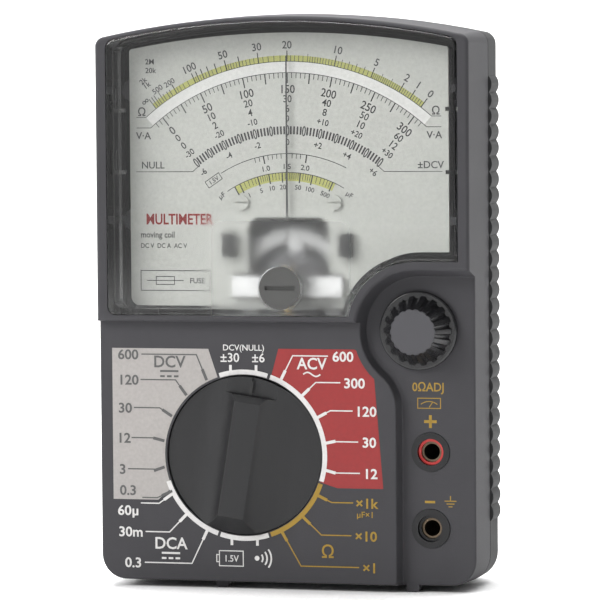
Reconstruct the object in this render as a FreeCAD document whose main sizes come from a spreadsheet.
"""Analog multimeter: a parametric assembly of the case, the moving-coil meter, the range switch,
the zero-ohm control, the test jacks, the circuit board and the cells.

Millimetres. +Z is up, the front faces -Y and +X is to the right as the dial is read.
The origin is on the surface that the feet stand on, at the middle of the width and the depth.
Depths are written as levels: a level is the distance in front of the middle of the case, so it
is -Y, and a larger level is nearer to the person reading the dial.
"""

import FreeCAD, Part
import math
import os
import re

import Sketcher
from FreeCAD import Placement, Rotation, Vector

DIMENSIONS = (
    # Case
    ("body_width", 99.0),
    ("body_height", 144.0),
    ("body_depth", 41.0),
    ("case_wall", 2.0),
    ("case_draft", 2.4),
    ("crown_radius", 223.0),
    ("crown_corner", 3.2),
    ("base_corner", 7.0),
    ("smallest_corner", 2.2),
    ("case_edge_round", 0.9),
    ("step_edge_round", 0.5),
    ("parting_setback", 0.7),
    ("parting_groove", 0.4),
    ("lip_wall", 1.2),
    ("lip_reach", 1.6),
    ("lip_gap", 0.08),
    ("rear_shoulder", 10.0),
    ("rear_taper_inset", 4.6),
    ("rear_edge_round", 1.6),
    ("foot_height", 1.15),
    ("foot_width", 3.2),
    ("foot_depth", 3.4),
    ("foot_left_x", -17.2),
    ("foot_right_x", 32.0),
    ("foot_front_level", 11.4),
    ("foot_rear_level", -7.0),
    # Finger grips on both long sides of the rear case
    ("grip_proud", 0.8),
    ("grip_relief", 0.7),
    ("grip_depth", 8.6),
    ("grip_pitch", 3.977),
    ("grip_count", 28),
    ("grip_low", 16.6),
    # Front steps: meter block, range panel and jack column
    ("bar_proud", 1.9),
    ("panel_step", 2.6),
    ("column_step", 3.0),
    ("block_bottom", 67.2),
    ("column_wall_draft", 17.0),
    ("block_notch_radius", 15.2),
    ("column_turn_angle", 50.0),
    ("column_turn_radius", 10.0),
    # Clear cover
    ("cover_side_margin", 3.7),
    ("cover_top_margin", 2.0),
    ("cover_bottom", 68.8),
    ("cover_notch_radius", 17.3),
    ("cover_wall", 1.6),
    ("cover_proud", 0.6),
    ("cover_gap", 0.15),
    ("cover_edge_round", 0.7),
    ("cover_flange", 0.9),
    ("cover_flange_thickness", 1.2),
    ("cover_flange_setback", 4.75),
    ("cover_rib_width", 1.0),
    ("cover_rib_reach", 1.4),
    ("cover_rib_low", 104.0),
    ("cover_rib_high", 119.5),
    ("adjuster_boss_radius", 5.9),
    ("adjuster_boss_proud", 0.35),
    # Scale plate
    ("plate_setback", 8.3),
    ("plate_thickness", 0.8),
    ("plate_side_gap", 2.2),
    ("plate_top_gap", 1.2),
    ("plate_bottom_gap", 0.4),
    ("plate_window_half_width", 10.5),
    ("plate_window_top", 93.0),
    ("plate_window_corner", 3.0),
    ("plate_slot_half_height", 3.3),
    ("plate_slot_half_width", 14.4),
    ("plate_screw_x", 12.0),
    ("plate_screw_rise", 21.0),
    ("stop_inner_x", 13.4),
    ("stop_width", 3.3),
    ("stop_height", 6.0),
    ("stop_rise", 7.3),
    ("stop_thickness", 2.0),
    # Moving-coil meter, all about the pointer's axis
    ("pivot_rise", 8.6),
    ("movement_setback", 10.3),
    ("core_radius", 8.5),
    ("core_length", 12.0),
    ("coil_gap", 0.5),
    ("coil_side", 1.6),
    ("coil_band", 2.6),
    ("coil_end_gap", 0.6),
    ("yoke_gap", 0.55),
    ("yoke_wall", 3.0),
    ("hub_radius", 2.0),
    ("hub_thickness", 1.0),
    ("pivot_radius", 0.4),
    ("pivot_clearance", 0.05),
    ("pivot_reach", 1.6),
    ("jewel_nose_radius", 1.5),
    ("jewel_head_radius", 2.1),
    ("jewel_head_thickness", 0.8),
    ("jewel_stand_off", 0.8),
    ("bridge_stand_off", 1.8),
    ("bridge_thickness", 1.2),
    ("bridge_half_height", 2.5),
    ("bridge_leg_width", 1.9),
    ("spring_inner_radius", 0.9),
    ("spring_strip", 0.16),
    ("spring_width", 0.35),
    ("spring_pitch", 0.44),
    ("spring_turns", 5),
    ("spring_stand_off", 0.3),
    ("lever_thickness", 0.6),
    ("lever_ring_radius", 2.8),
    ("lever_clearance", 0.06),
    ("lever_arm_width", 2.6),
    ("lever_reach", 5.4),
    ("pointer_riser", 6.6),
    ("pointer_arm_width", 0.9),
    ("pointer_arm_thickness", 0.35),
    ("pointer_length", 57.6),
    ("pointer_root_width", 0.5),
    ("pointer_tip_width", 0.24),
    ("pointer_gap", 0.9),
    ("balance_arm_reach", 6.6),
    ("balance_arm_width", 0.7),
    ("balance_spread", 45.0),
    ("balance_weight_radius", 0.75),
    ("balance_weight_length", 1.6),
    ("frame_half_width", 21.0),
    ("frame_drop", 14.0),
    ("frame_lift", 24.0),
    ("frame_half_thickness", 2.2),
    ("frame_screw_rise", 16.5),
    ("frame_arm_half_height", 3.0),
    ("frame_screw_length", 8.4),
    ("pillar_radius", 2.2),
    ("terminal_x", 17.6),
    ("terminal_drop", 10.5),
    ("terminal_radius", 0.6),
    # Zero adjuster in the cover
    ("adjuster_radius", 5.3),
    ("adjuster_thickness", 1.5),
    ("adjuster_stem_radius", 2.6),
    ("adjuster_slot_length", 7.7),
    ("adjuster_slot_width", 1.1),
    ("adjuster_slot_depth", 0.7),
    ("adjuster_pin_radius", 0.6),
    ("adjuster_pin_offset", 4.2),
    # Range switch
    ("knob_x", -10.5),
    ("knob_z", 33.7),
    ("knob_radius", 19.8),
    ("knob_gap", 0.3),
    ("knob_well_depth", 3.4),
    ("knob_disc_thickness", 2.6),
    ("knob_disc_sink", 0.7),
    ("knob_stem_radius", 4.0),
    ("knob_bar_angle", 9.0),
    ("knob_bar_half_width", 3.3),
    ("knob_bar_proud", 4.5),
    ("knob_flank_reach", 13.0),
    ("knob_index_length", 4.6),
    ("knob_index_drop", 3.3),
    ("knob_index_facet", 1.6),
    ("knob_tail_slope", 4.4),
    ("knob_index_slot_width", 0.7),
    ("knob_index_slot_depth", 0.5),
    ("shaft_clearance", 0.06),
    ("range_positions", 20),
    ("rotor_radius", 17.7),
    ("rotor_thickness", 3.0),
    ("rotor_gap", 2.2),
    ("rotor_screw_radius", 1.2),
    ("rotor_screw_head_radius", 2.3),
    ("rotor_screw_head_thickness", 1.2),
    ("rotor_screw_length", 6.4),
    ("detent_ball_radius", 1.0),
    ("detent_ball_gap", 0.1),
    ("detent_ring_gap", 0.6),
    ("detent_ring_wall", 2.0),
    ("detent_notch_radius", 1.1),
    ("detent_pocket_depth", 6.2),
    ("detent_spring_wire", 0.2),
    ("detent_spring_radius", 0.75),
    ("detent_spring_turns", 5),
    ("wiper_thickness", 0.3),
    ("wiper_width", 1.8),
    ("wiper_length", 7.0),
    ("wiper_contact_gap", 0.05),
    ("track_thickness", 0.1),
    ("track_width", 1.8),
    ("track_first_radius", 7.4),
    ("track_spacing", 3.0),
    ("contact_pad_radius", 1.0),
    # Zero-ohm control
    ("ohm_edge_margin", 15.5),
    ("ohm_z", 65.2),
    ("ohm_base_radius", 9.8),
    ("ohm_top_radius", 5.6),
    ("ohm_base_rim", 1.3),
    ("ohm_shoulder_radius", 8.7),
    ("ohm_height", 7.0),
    ("ohm_lift", 0.35),
    ("ohm_flutes", 18),
    ("ohm_flute_radius", 0.95),
    ("ohm_flute_top_radius", 0.72),
    ("ohm_bore_depth", 5.2),
    ("pot_radius", 8.0),
    ("pot_thickness", 5.5),
    ("pot_bush_radius", 3.9),
    ("pot_bush_length", 4.6),
    ("pot_shaft_radius", 3.0),
    ("pot_floor", 1.4),
    # Test jacks
    ("jack_edge_margin", 12.8),
    ("jack_minus_z", 15.95),
    ("jack_spacing", 19.05),
    ("jack_bore_radius", 2.0),
    ("jack_socket_wall", 0.55),
    ("jack_sleeve_radius", 3.25),
    ("jack_well_radius", 4.85),
    ("jack_well_wall", 1.54),
    ("jack_well_step", 0.75),
    ("jack_well_proud", 0.25),
    ("jack_sleeve_sink", 0.8),
    ("jack_socket_sink", 1.6),
    ("jack_bore_length", 18.9),
    ("jack_socket_floor", 0.6),
    # Circuit board
    ("board_setback", 13.0),
    ("board_thickness", 1.6),
    ("board_side_gap", 2.6),
    ("board_bottom", 6.2),
    ("board_top", 59.0),
    ("board_tab_width", 22.0),
    ("board_tab_top", 74.5),
    ("board_screw_x", 34.0),
    ("board_screw_z", 45.0),
    ("board_post_radius", 2.9),
    # Cells, contacts and fuse
    ("cell_radius", 7.25),
    ("cell_length", 49.2),
    ("cell_nub_radius", 2.7),
    ("cell_nub_length", 1.3),
    ("cell_back_gap", 0.9),
    ("cell_low_z", 18.0),
    ("cell_pitch", 16.2),
    ("cell_rib_wall", 1.4),
    ("cell_contact_thickness", 0.4),
    ("cell_contact_height", 9.0),
    ("cell_spring_space", 3.4),
    ("cell_spring_wire", 0.35),
    ("cell_spring_radius", 2.9),
    ("cell_spring_turns", 3),
    ("fuse_radius", 2.6),
    ("fuse_length", 20.0),
    ("fuse_cap_length", 5.0),
    ("fuse_cap_wall", 0.25),
    ("fuse_glass_wall", 0.6),
    ("fuse_z", 51.0),
    ("fuse_clip_width", 3.6),
    ("fuse_clip_wall", 0.5),
    ("fuse_clip_floor", 0.7),
    # Small parts on the back of the board
    ("buzzer_x", -33.0),
    ("buzzer_z", 53.0),
    ("buzzer_radius", 6.0),
    ("buzzer_height", 5.0),
    ("resistor_radius", 1.05),
    ("resistor_length", 6.2),
    ("resistor_pitch", 4.3),
    ("resistor_count", 9),
    ("resistor_first_x", -19.5),
    ("resistor_low_z", 21.0),
    ("resistor_high_z", 32.5),
    ("lead_radius", 0.28),
    ("diode_radius", 0.9),
    ("diode_length", 3.8),
    ("diode_z", 43.6),
    ("capacitor_radius", 2.5),
    ("capacitor_height", 5.6),
    ("capacitor_x", 18.0),
    ("trimmer_side", 6.0),
    ("trimmer_height", 3.4),
    ("trimmer_x", -33.0),
    ("trimmer_low_z", 30.0),
    ("trimmer_pitch", 9.0),
    # Screws and screw posts
    ("case_screw_side_margin", 8.2),
    ("case_screw_low_z", 9.6),
    ("case_screw_top_margin", 19.0),
    ("case_screw_radius", 1.3),
    ("case_screw_head_radius", 2.7),
    ("case_screw_head_thickness", 1.9),
    ("case_screw_length", 14.0),
    ("case_screw_sink", 12.0),
    ("post_radius", 3.3),
    ("post_gap", 0.4),
    ("small_screw_radius", 0.9),
    ("small_screw_head_radius", 1.9),
    ("small_screw_head_thickness", 0.7),
    ("small_screw_length", 4.0),
    ("screw_slot_width", 0.5),
    ("screw_slot_depth", 0.45),
)

doc = FreeCAD.newDocument("analog_multimeter")


class Sizes:
    """Every driving dimension as a plain number, for the outlines that are worked out in code."""


def fill_sheet():
    """Puts the driving dimensions in the spreadsheet and copies them to Sizes."""
    sheet = doc.addObject("Spreadsheet::Sheet", "dims")
    for row, (name, value) in enumerate(DIMENSIONS, start=1):
        sheet.set("A%d" % row, name)
        sheet.set("B%d" % row, str(value))
        sheet.setAlias("B%d" % row, name)
        setattr(Sizes, name, value)
    doc.recompute()
    return sheet


fill_sheet()

ALIAS = re.compile(r"\b(" + "|".join(name for name, value in DIMENSIONS) + r")\b")

# Levels in front of the middle of the case, as formulas on the spreadsheet
FRONT = "(body_depth/2 - bar_proud)"
PANEL = "(body_depth/2 - bar_proud - panel_step)"
COLUMN = "(body_depth/2 - bar_proud - panel_step - column_step)"
KNOB_DISC = "(body_depth/2 - bar_proud - panel_step - knob_disc_sink)"
KNOB_BAR = "(body_depth/2 - bar_proud - panel_step + knob_bar_proud)"
PARTING = "(-parting_setback)"
REAR_START = "(-parting_setback - parting_groove)"
SHOULDER = "(-rear_shoulder)"
BACK = "(-body_depth/2)"
COVER = "(body_depth/2 - bar_proud + cover_proud)"
PLATE = "(body_depth/2 - bar_proud - plate_setback)"
MIDDLE = "(body_depth/2 - bar_proud - plate_setback - movement_setback)"
BOARD = "(body_depth/2 - bar_proud - panel_step - board_setback)"
BOARD_BACK = "(body_depth/2 - bar_proud - panel_step - board_setback - board_thickness)"

# Places seen from the front, as formulas on the spreadsheet
CASE_HALF = "(body_width/2 - grip_proud)"
PIVOT_Z = "(block_bottom + pivot_rise)"
OHM_X = "(body_width/2 - ohm_edge_margin)"
JACK_X = "(body_width/2 - jack_edge_margin)"

TURN_FORWARD = Rotation(Vector(1, 0, 0), 90)
NODES = []


def formula(text):
    """A spreadsheet formula from text that uses the dimensions' bare names."""
    return ALIAS.sub(r"dims.\1", str(text))


def bind(item, formulas):
    """Binds properties of a document object to formulas on the spreadsheet."""
    for path, text in formulas.items():
        item.setExpression(path, formula(text))
    return item


def as_node(item, name):
    """Marks a document object as a finished sub-part with its own name."""
    item.Label = name
    NODES.append(item)
    return item


def rod(name, x, z, back, front, radius):
    """A round bar that runs from one level to another."""
    item = doc.addObject("Part::Cylinder", name)
    item.Placement = Placement(Vector(), TURN_FORWARD)
    return bind(
        item,
        {
            "Radius": radius,
            "Height": "(%s) - (%s)" % (front, back),
            "Placement.Base.x": x,
            "Placement.Base.y": "-(%s)" % back,
            "Placement.Base.z": z,
        },
    )


def block(name, x_low, x_high, back, front, z_low, z_high):
    """A box between two limits each way."""
    item = doc.addObject("Part::Box", name)
    return bind(
        item,
        {
            "Length": "(%s) - (%s)" % (x_high, x_low),
            "Width": "(%s) - (%s)" % (front, back),
            "Height": "(%s) - (%s)" % (z_high, z_low),
            "Placement.Base.x": x_low,
            "Placement.Base.y": "-(%s)" % front,
            "Placement.Base.z": z_low,
        },
    )


def beam(name, x_low, x_high, level, z, radius):
    """A round bar along X."""
    item = doc.addObject("Part::Cylinder", name)
    item.Placement = Placement(Vector(), Rotation(Vector(0, 1, 0), 90))
    return bind(
        item,
        {
            "Radius": radius,
            "Height": "(%s) - (%s)" % (x_high, x_low),
            "Placement.Base.x": x_low,
            "Placement.Base.y": "-(%s)" % level,
            "Placement.Base.z": z,
        },
    )


def fuse(name, *parts):
    item = doc.addObject("Part::MultiFuse", name)
    item.Shapes = list(parts)
    return item


def group(name, *parts):
    """Separate like solids that share one node."""
    item = doc.addObject("Part::Compound", name)
    item.Links = list(parts)
    return item


def cut(name, base, *tools):
    item = doc.addObject("Part::Cut", name)
    item.Base = base
    item.Tool = tools[0] if len(tools) == 1 else fuse(name + "_tools", *tools)
    return item


def common(name, first, second):
    item = doc.addObject("Part::Common", name)
    item.Base = first
    item.Tool = second
    return item


def ring(name, x, z, back, front, outer, inner):
    """A round tube that runs from one level to another."""
    return cut(
        name,
        rod(name + "_outside", x, z, back, front, outer),
        rod(name + "_bore", x, z, back, front, inner),
    )


def screw(name, x, z, seat, length, radius, head_radius, head_thickness, facing):
    """A slotted screw whose head sits on the seat level; facing is 1 or -1, the way its head points."""
    tip = "%s - (%s)*(%s)" % (seat, facing, length)
    top = "%s + (%s)*(%s)" % (seat, facing, head_thickness)
    slot_floor = "%s + (%s)*(%s - screw_slot_depth)" % (seat, facing, head_thickness)
    shank_ends = (tip, seat) if facing > 0 else (seat, tip)
    head_ends = (seat, top) if facing > 0 else (top, seat)
    slot_ends = (slot_floor, top) if facing > 0 else (top, slot_floor)
    shank = rod(name + "_shank", x, z, *shank_ends, radius)
    head = rod(name + "_head", x, z, *head_ends, head_radius)
    slot = block(
        name + "_slot",
        "%s - %s" % (x, head_radius),
        "%s + %s" % (x, head_radius),
        *slot_ends,
        "%s - screw_slot_width/2" % z,
        "%s + screw_slot_width/2" % z,
    )
    return cut(name, fuse(name + "_blank", shank, head), slot)


# Outlines: lists of arcs and corner points, joined by straight lines


def arc(center_x, center_z, radius, start, end):
    """Three points on an arc between two angles in degrees."""
    points = []
    for angle in (start, (start + end) / 2, end):
        turn = math.radians(angle)
        points.append((center_x + radius * math.cos(turn), center_z + radius * math.sin(turn)))
    return tuple(points)


def crown_arcs(half, top, radius, corner):
    """The arched top with its two rounded corners, from right to left."""
    center_z = top - radius
    corner_x = half - corner
    corner_z = center_z + math.sqrt((radius - corner) ** 2 - corner_x ** 2)
    turn = math.degrees(math.atan2(corner_z - center_z, corner_x))
    return [
        arc(corner_x, corner_z, corner, 0, turn),
        arc(0, center_z, radius, turn, 180 - turn),
        arc(-corner_x, corner_z, corner, 180 - turn, 180),
    ]


def shrunk(radius, inset):
    return max(radius - inset, Sizes.smallest_corner)


def case_outline(inset):
    """The case seen from the front, drawn in from its widest line by inset."""
    half = Sizes.body_width / 2 - Sizes.grip_proud - inset
    bottom = Sizes.foot_height + inset
    base = shrunk(Sizes.base_corner, inset)
    crown = crown_arcs(
        half,
        Sizes.body_height - inset,
        Sizes.crown_radius - inset,
        shrunk(Sizes.crown_corner, inset),
    )
    right = arc(half - base, bottom + base, base, -90, 0)
    left = arc(base - half, bottom + base, base, 180, 270)
    return [right, *crown, left]


def ohm_center():
    return Sizes.body_width / 2 - Sizes.ohm_edge_margin, Sizes.ohm_z


def window_outline(inset):
    """The clear cover seen from the front, with the notch that clears the zero-ohm knob."""
    half = Sizes.body_width / 2 - Sizes.grip_proud - Sizes.cover_side_margin - inset
    bottom = Sizes.cover_bottom + inset
    notch = Sizes.cover_notch_radius + inset
    ohm_x, ohm_z = ohm_center()
    reach = math.sqrt(notch ** 2 - (bottom - ohm_z) ** 2)
    start = math.degrees(math.atan2(bottom - ohm_z, -reach))
    crown = crown_arcs(
        half,
        Sizes.body_height - Sizes.cover_top_margin - inset,
        Sizes.crown_radius - Sizes.cover_top_margin - inset,
        shrunk(Sizes.crown_corner, inset + Sizes.case_edge_round),
    )
    corner = shrunk(Sizes.case_wall, inset)
    return [
        arc(ohm_x, ohm_z, notch, start, 90),
        ((half, ohm_z + notch),),
        *crown,
        arc(corner - half, bottom + corner, corner, 180, 270),
    ]


def column_edge(notch, turn_radius):
    """The edge between the jack column and the rest of the front, from its top down to its foot."""
    ohm_x, ohm_z = ohm_center()
    turn = Sizes.column_turn_angle
    away = Sizes.block_notch_radius + Sizes.column_turn_radius
    center_x = ohm_x - away * math.cos(math.radians(turn))
    center_z = ohm_z - away * math.sin(math.radians(turn))
    return [
        arc(ohm_x, ohm_z, notch, 90, 180 + turn),
        arc(center_x, center_z, turn_radius, turn, 0),
    ]


def column_outline():
    """Everything right of the column's edge, past the case's own outline."""
    beyond = Sizes.body_width / 2 + Sizes.case_wall
    edge = column_edge(Sizes.block_notch_radius, Sizes.column_turn_radius)
    top = edge[0][0][1]
    foot_x = edge[1][-1][0]
    below = -Sizes.case_wall
    return [*edge, ((foot_x, below),), ((beyond, below),), ((beyond, top),)]


def panel_cavity_outline(inset):
    """The inside of the case left of and above the jack column."""
    notch = Sizes.cover_notch_radius - Sizes.cover_gap
    grown = notch - Sizes.block_notch_radius
    edge = column_edge(notch, Sizes.column_turn_radius - grown)
    half = Sizes.body_width / 2 - Sizes.grip_proud - inset
    whole = case_outline(inset)
    foot_x = edge[1][-1][0]
    bottom = Sizes.foot_height + inset
    back_up = [tuple(reversed(stretch)) for stretch in reversed(edge)]
    return [((foot_x, bottom),), *back_up, ((half, edge[0][0][1]),), *whole[1:]]


def draw(sketch, *outlines):
    """Draws closed outlines in a sketch and ties their ends together."""
    for outline in outlines:
        edges = []
        for stretch, following in zip(outline, outline[1:] + outline[:1]):
            if len(stretch) == 3:
                edges.append(tuple(Vector(x, z, 0) for x, z in stretch))
            start = Vector(*stretch[-1], 0)
            end = Vector(*following[0], 0)
            if start.distanceToPoint(end) > 1e-6:
                edges.append((start, end))
        first = sketch.GeometryCount
        for edge in edges:
            curve = Part.Arc(*edge) if len(edge) == 3 else Part.LineSegment(*edge)
            sketch.addGeometry(curve, False)
        tie_ends(sketch, edges, first)


def end_index(sketch, curve, point):
    """1 if the curve starts at the point, 2 if it ends there."""
    start = sketch.getPoint(curve, 1)
    return 1 if start.distanceToPoint(point) < sketch.getPoint(curve, 2).distanceToPoint(point) else 2


def tie_ends(sketch, edges, first):
    count = len(edges)
    for number, edge in enumerate(edges):
        this_curve = first + number
        next_curve = first + (number + 1) % count
        joint = edge[-1]
        sketch.addConstraint(
            Sketcher.Constraint(
                "Coincident",
                this_curve,
                end_index(sketch, this_curve, joint),
                next_curve,
                end_index(sketch, next_curve, joint),
            )
        )


# Bodies and features


def body_plane(body, role):
    return [item for item in body.Origin.OriginFeatures if item.Role == role][0]


def sketch_on(body, name, level, role="XZ_Plane"):
    """A sketch parallel to the front of the meter, at a level."""
    sketch = body.newObject("Sketcher::SketchObject", name)
    sketch.AttachmentSupport = [(body_plane(body, role), "")]
    sketch.MapMode = "FlatFace"
    sketch.setExpression("AttachmentOffset.Base.z", formula(level))
    return sketch


def circle(sketch, x, z, radius):
    """A circle in a sketch, its radius and centre bound to formulas."""
    item = sketch.addGeometry(Part.Circle(Vector(1, 1, 0), Vector(0, 0, 1), 1), False)
    wanted = (
        (Sketcher.Constraint("Radius", item, 1), radius),
        (Sketcher.Constraint("DistanceX", -1, 1, item, 3, 1), x),
        (Sketcher.Constraint("DistanceY", -1, 1, item, 3, 1), z),
    )
    for constraint, text in wanted:
        index = sketch.addConstraint(constraint)
        sketch.setExpression("Constraints[%d]" % index, formula(text))


def extrude(body, kind, name, sketch, length, reverse=False, middle=False, taper=None):
    """A Pad or a Pocket from a sketch."""
    feature = body.newObject("PartDesign::" + kind, name)
    feature.Profile = sketch
    feature.setExpression("Length", formula(length))
    feature.Reversed = reverse
    feature.Midplane = middle
    if taper is not None:
        feature.setExpression("TaperAngle", formula(taper))
    sketch.Visibility = False
    return feature


def pad(body, name, sketch, length, **how):
    return extrude(body, "Pad", name, sketch, length, **how)


def pocket(body, name, sketch, length, **how):
    """A Pocket that has to take material away."""
    doc.recompute()
    before = body.Shape.Volume
    feature = extrude(body, "Pocket", name, sketch, length, **how)
    doc.recompute()
    if not body.Shape.Volume < before:
        raise ValueError("%s removes nothing" % name)
    return feature


def loft(body, kind, name, first, second):
    feature = body.newObject("PartDesign::" + kind, name)
    feature.Profile = first
    feature.Sections = [second]
    feature.Ruled = True
    return feature


def round_edges(body, name, radius, wanted):
    """Rounds the edges of the body's last feature for which wanted(edge) is true."""
    doc.recompute()
    tip = body.Tip
    names = [
        "Edge%d" % number
        for number, edge in enumerate(tip.Shape.Edges, start=1)
        if wanted(edge)
    ]
    feature = body.newObject("PartDesign::Fillet", name)
    feature.Base = (tip, names)
    feature.setExpression("Radius", formula(radius))
    return feature


def inner_corner(edge, name):
    """True for the foot of a step, which stays sharp."""
    if name == "block_edge":
        return False
    box = edge.BoundBox
    half = Sizes.body_width / 2 - Sizes.grip_proud - Sizes.case_wall
    low = Sizes.foot_height + Sizes.case_wall
    touches_side = max(abs(box.XMin), abs(box.XMax)) > half and box.XLength < Sizes.case_wall
    touches_bottom = box.ZMin < low
    on_step = name == "panel_edge" and is_column_edge(box)
    return not (touches_side or touches_bottom or on_step)


def is_column_edge(box):
    """True for the panel's edge along the jack column."""
    ohm_x, ohm_z = ohm_center()
    foot_x = column_edge(Sizes.block_notch_radius, Sizes.column_turn_radius)[1][-1][0]
    reach = Sizes.case_wall
    return box.XMin > ohm_x - Sizes.block_notch_radius - reach and box.XMax < foot_x + reach


def flat_at(edge, y):
    """True if the whole edge lies at one depth."""
    box = edge.BoundBox
    return abs(box.YMin - y) < 1e-4 and abs(box.YMax - y) < 1e-4


# The case


def screw_places():
    """The four case screws as pairs of formulas."""
    side = "(%s - case_screw_side_margin)" % CASE_HALF
    top = "(body_height - case_screw_top_margin)"
    return [
        ("-" + side, "case_screw_low_z"),
        (side, "case_screw_low_z"),
        ("-" + side, top),
        (side, top),
    ]


def add_feet(body, level):
    """Two small moulded feet under the bottom wall, half sunk in it."""
    for name, x in (("left", Sizes.foot_left_x), ("right", Sizes.foot_right_x)):
        sketch = sketch_on(body, body.Name + "_foot_" + name, level + " - foot_depth/2")
        half = Sizes.foot_width / 2
        root = Sizes.foot_height + Sizes.case_wall / 2
        corner = half / 2
        draw(
            sketch,
            [
                ((x + half, root),),
                ((x - half, root),),
                arc(x - half + corner, corner, corner, 180, 270),
                arc(x + half - corner, corner, corner, 270, 360),
            ],
        )
        pad(body, body.Name + "_foot_pad_" + name, sketch, "foot_depth")


def front_case():
    """The front shell: meter block, range panel and jack column, each a step further back."""
    body = doc.addObject("PartDesign::Body", "front_case")
    outline = sketch_on(body, "front_outline", PARTING)
    draw(outline, case_outline(0))
    pad(body, "front_block", outline, "%s - %s" % (FRONT, PARTING), taper="-case_draft")
    panel = sketch_on(body, "panel_step_outline", FRONT)
    beyond = Sizes.body_width / 2 + Sizes.case_wall
    block_bottom = Sizes.block_bottom
    draw(
        panel,
        [
            ((-beyond, block_bottom),),
            ((-beyond, -Sizes.case_wall),),
            ((beyond, -Sizes.case_wall),),
            ((beyond, block_bottom),),
        ],
    )
    pocket(body, "panel_step_cut", panel, "panel_step")
    column = sketch_on(body, "column_outline", FRONT)
    draw(column, column_outline())
    pocket(body, "column_cut", column, "panel_step + column_step", taper="-column_wall_draft")
    step_levels = (
        ("block_edge", "case_edge_round", Sizes.bar_proud),
        ("panel_edge", "step_edge_round", Sizes.bar_proud + Sizes.panel_step),
        ("column_edge", "step_edge_round", Sizes.bar_proud + Sizes.panel_step + Sizes.column_step),
    )
    for name, radius, setback in step_levels:
        depth = setback - Sizes.body_depth / 2
        round_edges(body, name, radius, lambda edge: flat_at(edge, depth) and not inner_corner(edge, name))
    hollow = sketch_on(body, "hollow_outline", PARTING)
    draw(hollow, case_outline(Sizes.case_wall))
    pocket(body, "hollow", hollow, "%s - case_wall - %s" % (COLUMN, PARTING), reverse=True)
    deep = sketch_on(body, "deep_hollow_outline", PARTING)
    draw(deep, panel_cavity_outline(Sizes.case_wall))
    pocket(body, "deep_hollow", deep, "%s - case_wall - %s" % (PANEL, PARTING), reverse=True)
    window = sketch_on(body, "window_outline", FRONT)
    draw(window, window_outline(-Sizes.cover_gap))
    pocket(body, "window", window, "panel_step + case_wall + lip_gap")
    front_case_switch_well(body)
    front_case_posts(body)
    front_case_holes(body)
    add_feet(body, "foot_front_level")
    doc.recompute()
    return as_node(body, "front_case")


def front_case_switch_well(body):
    """The round well that the range knob turns in, with its own floor."""
    floor = "%s - knob_well_depth" % PANEL
    cup = sketch_on(body, "well_cup_outline", floor + " - case_wall")
    circle(cup, "knob_x", "knob_z", "knob_radius + knob_gap + case_wall")
    pad(body, "well_cup", cup, "knob_well_depth + case_wall/2")
    well = sketch_on(body, "well_outline", PANEL)
    circle(well, "knob_x", "knob_z", "knob_radius + knob_gap")
    pocket(body, "well", well, "knob_well_depth")
    hole = sketch_on(body, "stem_hole_outline", PANEL)
    circle(hole, "knob_x", "knob_z", "knob_stem_radius + shaft_clearance")
    pocket(body, "stem_hole", hole, "knob_well_depth + 2*case_wall")


def front_case_posts(body):
    """Screw posts for the rear case, the meter's frame and the board, the outer ones ribbed."""
    plate_back = "%s - plate_thickness - post_gap" % PLATE
    panel_wall = "%s - case_wall/2" % PANEL
    column_wall = "%s - case_wall/2" % COLUMN
    low_left, low_right, top_left, top_right = screw_places()
    side = "(%s - case_screw_side_margin)" % CASE_HALF
    frame_z = "(%s + frame_screw_rise)" % PIVOT_Z
    frame_front = "(%s + frame_half_thickness)" % MIDDLE
    case_radius = "post_radius - post_gap"
    posts = (
        ("low_left", low_left, BOARD_BACK, panel_wall, case_radius, "case_screw_radius"),
        ("low_right", low_right, BOARD_BACK, column_wall, case_radius, "case_screw_radius"),
        ("top_left", top_left, BOARD_BACK, plate_back, case_radius, "case_screw_radius"),
        ("top_right", top_right, BOARD_BACK, plate_back, case_radius, "case_screw_radius"),
        ("frame_left", ("-" + side, frame_z), frame_front, plate_back, case_radius, "case_screw_radius"),
        ("frame_right", (side, frame_z), frame_front, plate_back, case_radius, "case_screw_radius"),
        (
            "board_left",
            ("-board_screw_x", "board_screw_z"),
            BOARD,
            panel_wall,
            "board_post_radius",
            "small_screw_radius",
        ),
        (
            "board_right",
            ("board_screw_x", "board_screw_z"),
            BOARD,
            column_wall,
            "board_post_radius",
            "small_screw_radius",
        ),
    )
    for name, (x, z), foot, end, radius, bore_radius in posts:
        post = sketch_on(body, "post_" + name, foot)
        circle(post, x, z, radius)
        pad(body, "post_pad_" + name, post, "%s - (%s)" % (end, foot))
    half = Sizes.body_width / 2 - Sizes.grip_proud
    web = Sizes.case_wall / 2
    inner_x = half - Sizes.case_screw_side_margin
    outer_x = half - Sizes.case_wall / 2
    ribs = (
        ("low", Sizes.case_screw_low_z, BOARD),
        ("top", Sizes.body_height - Sizes.case_screw_top_margin, BOARD_BACK),
        ("frame", Sizes.block_bottom + Sizes.pivot_rise + Sizes.frame_screw_rise, frame_front),
    )
    for name, z, foot in ribs:
        rib = sketch_on(body, "post_rib_" + name, foot)
        for sign in (-1, 1):
            low_end = (sign * inner_x, z - web)
            draw(
                rib,
                [
                    (low_end,),
                    ((sign * outer_x, z - web),),
                    ((sign * outer_x, z + web),),
                    ((sign * inner_x, z + web),),
                ],
            )
        pad(body, "post_rib_pad_" + name, rib, "%s - (%s)" % (plate_back, foot))
    for name, (x, z), foot, end, radius, bore_radius in posts:
        bore = sketch_on(body, "post_bore_" + name, foot)
        circle(bore, x, z, bore_radius)
        pocket(body, "post_bore_cut_" + name, bore, "%s - (%s) - case_wall" % (end, foot), reverse=True)


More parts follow.
